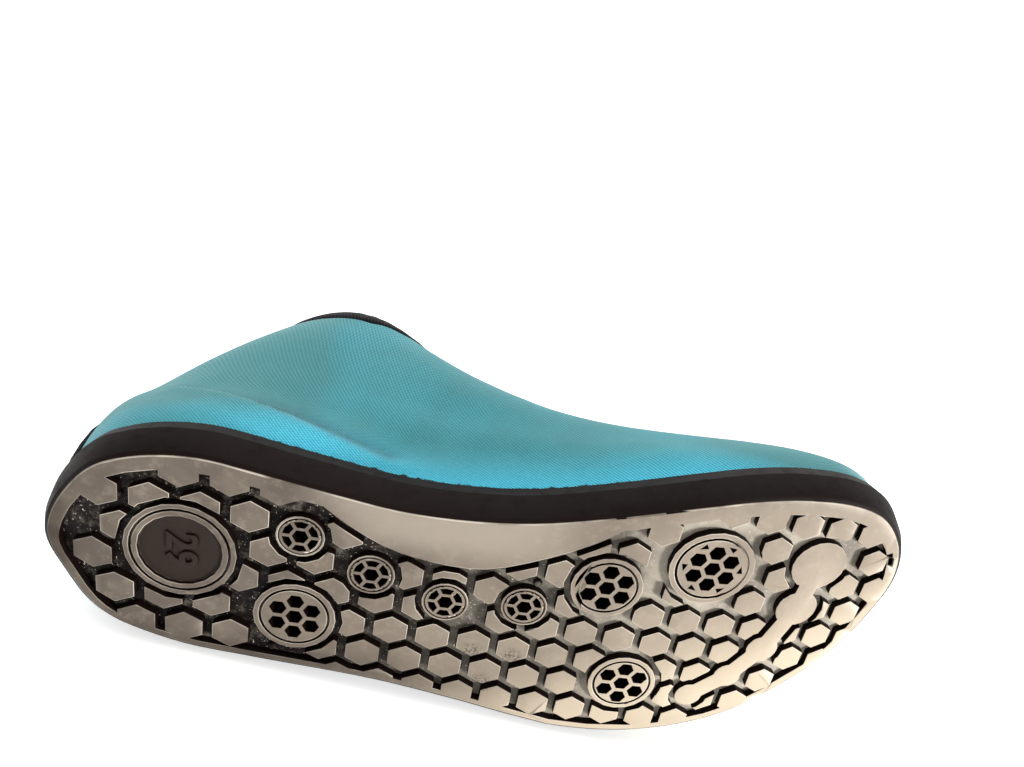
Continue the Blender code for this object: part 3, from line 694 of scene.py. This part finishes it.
def knit_finish():
    material, shader, here = new_finish("cyan_knit", CYAN, 0.85, 0.25)
    shader.inputs["Sheen Weight"].default_value = 0.25
    shader.inputs["Sheen Roughness"].default_value = 0.5
    height = here.attribute("rise")
    around = here.attribute("girth")
    along, across, up = here.axes()
    cloud = here.noise(38.0, 3.0)
    fuzz = here.noise(1800.0, 2.0)

    # Ribs that lean across the cloth, pulled by finer wales
    twill = (along + around * TWILL_LEAN).wave(TWILL_PITCH)
    wale = (along * 0.5 - around).wave(WALE_PITCH)
    weave = twill * 0.6 + wale * 0.4

    # The cloth is painted light above the sole and painted shade higher up, at the heel and at the
    # toe, with some random tone
    limit = (1 - along.between(0.015, 0.075)) * 0.009 + 0.016
    painted_shade = (up - limit).between(-0.010, 0.010) * 0.85 + cloud.between(0.3, 0.75) * 0.15
    painted_shade = painted_shade + along.between(0.145, 0.180) * 0.6 + (1 - along.between(0.015, 0.060)) * 0.7
    light = painted_shade.mix(LIT_THREAD, SHADED_THREAD)
    dark = painted_shade.mix(LIT_GAP, SHADED_GAP)
    colour = (weave * 0.65 + fuzz * 0.35).between(0.2, 0.65).mix(dark, light)
    colour = (here.attribute("fold") * 0.55).mix(colour, FOLD_SHADE)

    edge = here.noise(70.0, 4.0) * 0.016
    yellow_area = ((across + edge).between(0.026, 0.036)
                   * along.between(0.108, 0.126) * (1 - along.between(0.152, 0.168)))
    colour = yellow_area.mix(colour, YELLOW)
    jag = here.noise(420.0, 3.0, 0.7) * 0.0028
    hem = 1 - (height + 0.0014 - jag).between(0.0006, 0.0011)
    colour = hem.mix(colour, HEM_BLACK)
    link(colour, shader, "Base Color")
    bumped(weave + fuzz * 0.3, shader, 0.6, 0.00030)
    return material


dress(upper, knit_finish())
upper.data.shade_smooth()

# Insole: a flat sheet of black foam faced with a plain cloth. It lies loose on the sole's plate
# inside the upper.

INSOLE_PITCH = 0.0008


def foam_finish():
    material, shader, here = new_finish("black_foam", rgb(34, 33, 33), 0.9, 0.2)
    along, across, _ = here.axes()
    weave = along.wave(INSOLE_PITCH) * across.wave(INSOLE_PITCH)
    link(here.noise(300.0).mix(rgb(26, 25, 25), rgb(46, 44, 43)), shader, "Base Color")
    bumped(weave, shader, 0.5, 0.0002)
    return material


dress(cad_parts["insole"], foam_finish())

# Collar binding: a black elastic band with fine ribs, folded over the knit's raw edge and sewn
# down on both sides of it.

RIB_PITCH = 0.0009


def tape_finish():
    material, shader, here = new_finish("black_tape", rgb(24, 23, 24), 0.8, 0.3)
    along, _, up = here.axes()
    ribs = (along + up * 0.4).wave(RIB_PITCH)
    thread = here.noise(900.0, 3.0)
    link((ribs * 0.6 + thread * 0.4).mix(rgb(14, 13, 14), rgb(44, 42, 43)), shader, "Base Color")
    bumped(ribs + thread * 0.6, shader, 0.7, 0.00025)
    return material


black_tape = tape_finish()
binding = place("collar_edge", quads_of("collar_binding"), "collar_binding")
dress(binding, black_tape)
subdivide(binding, 2)
binding.data.shade_smooth()

# Heel tape: a black woven tape, glued and sewn down over the seam at the back of the heel. Its
# edges are a little round.

TAPE_ROUNDING = 0.0002

tape = place("heel_seam_tape", quads_of("heel_tape"), "heel_tape")
dress(tape, black_tape)
tape.data.set_sharp_from_angle(angle=math.radians(40))
rounded = tape.modifiers.new("edges", "BEVEL")
rounded.width = TAPE_ROUNDING
rounded.segments = 2
rounded.limit_method = "ANGLE"
rounded.angle_limit = math.radians(50)

# Studio: a white sweep of card that rises behind the shoe, soft lamps and the camera, close
# over the tread.

SWEEP_HALF_WIDTH = 12.0
SWEEP_FRONT = -14.0
SWEEP_BACK = 0.35
SWEEP_RADIUS = 0.5
SWEEP_TOP = 3.0
WHITE = (1.0, 1.0, 1.0, 1.0)

sweep = bmesh.new()
profile = [(SWEEP_FRONT, 0.0), (SWEEP_BACK, 0.0)]
for step in range(1, 10):
    turn = math.radians(10 * step)
    profile.append((SWEEP_BACK + SWEEP_RADIUS * math.sin(turn),
                    SWEEP_RADIUS - SWEEP_RADIUS * math.cos(turn)))
profile.append((SWEEP_BACK + SWEEP_RADIUS, SWEEP_TOP))
row = [sweep.verts.new((-SWEEP_HALF_WIDTH, y, z)) for y, z in profile]
line = [sweep.edges.new(pair) for pair in zip(row, row[1:])]
grown = bmesh.ops.extrude_edge_only(sweep, edges=line)
far_side = [item for item in grown["geom"] if isinstance(item, bmesh.types.BMVert)]
bmesh.ops.translate(sweep, vec=(2 * SWEEP_HALF_WIDTH, 0, 0), verts=far_side)
bmesh.ops.recalc_face_normals(sweep, faces=sweep.faces)
sweep_mesh = bpy.data.meshes.new("studio_sweep")
sweep.to_mesh(sweep_mesh)
sweep.free()
sweep_mesh.shade_smooth()
studio_sweep = bpy.data.objects.new("studio_sweep", sweep_mesh)
bpy.context.scene.collection.objects.link(studio_sweep)
card, card_shader, _ = new_finish("pale_glowing_card", rgb(246, 246, 245), 0.95, 0.0)
# The card glows, a painted light that whitens the floor, washes out the shoe's shadow on it and
# lights the shoe like a softbox
card_shader.inputs["Emission Color"].default_value = WHITE
card_shader.inputs["Emission Strength"].default_value = 0.50
sweep_mesh.materials.append(card)

world = bpy.data.worlds.new("soft_room")
world.use_nodes = True
world.node_tree.nodes["Background"].inputs["Color"].default_value = WHITE
world.node_tree.nodes["Background"].inputs["Strength"].default_value = 0.42
bpy.context.scene.world = world


def add_lamp(name, spot, aim, size, power):
    """A rectangular soft lamp that shines from a spot to an aim."""
    lamp = bpy.data.lights.new(name, "AREA")
    lamp.shape = "RECTANGLE"
    lamp.size = size[0]
    lamp.size_y = size[1]
    lamp.energy = power
    made = bpy.data.objects.new(name, lamp)
    made.location = spot
    made.rotation_euler = (Vector(aim) - Vector(spot)).to_track_quat("-Z", "Y").to_euler()
    bpy.context.scene.collection.objects.link(made)


add_lamp("window", spot=(0.60, -0.50, 0.07), aim=(0.03, 0, 0.04), size=(0.16, 0.12), power=8.4)
add_lamp("ceiling", spot=(-0.1, 0.0, 1.3), aim=(0, 0.1, 0.04), size=(1.4, 1.4), power=9.2)

CAMERA_PLACE = (-0.03253, -0.19897, 0.15925)
CAMERA_TURN = (65.646, -17.937, -1.116)

camera = bpy.data.cameras.new("camera")
camera.sensor_width = 36.0
camera.lens = 29.44
camera.shift_y = 0.005
camera.clip_start = 0.01
camera.clip_end = 30.0
camera_object = bpy.data.objects.new("camera", camera)
camera_object.location = CAMERA_PLACE
camera_object.rotation_euler = [math.radians(angle) for angle in CAMERA_TURN]
bpy.context.scene.collection.objects.link(camera_object)
bpy.context.scene.camera = camera_object
bpy.context.scene.view_settings.view_transform = "Standard"
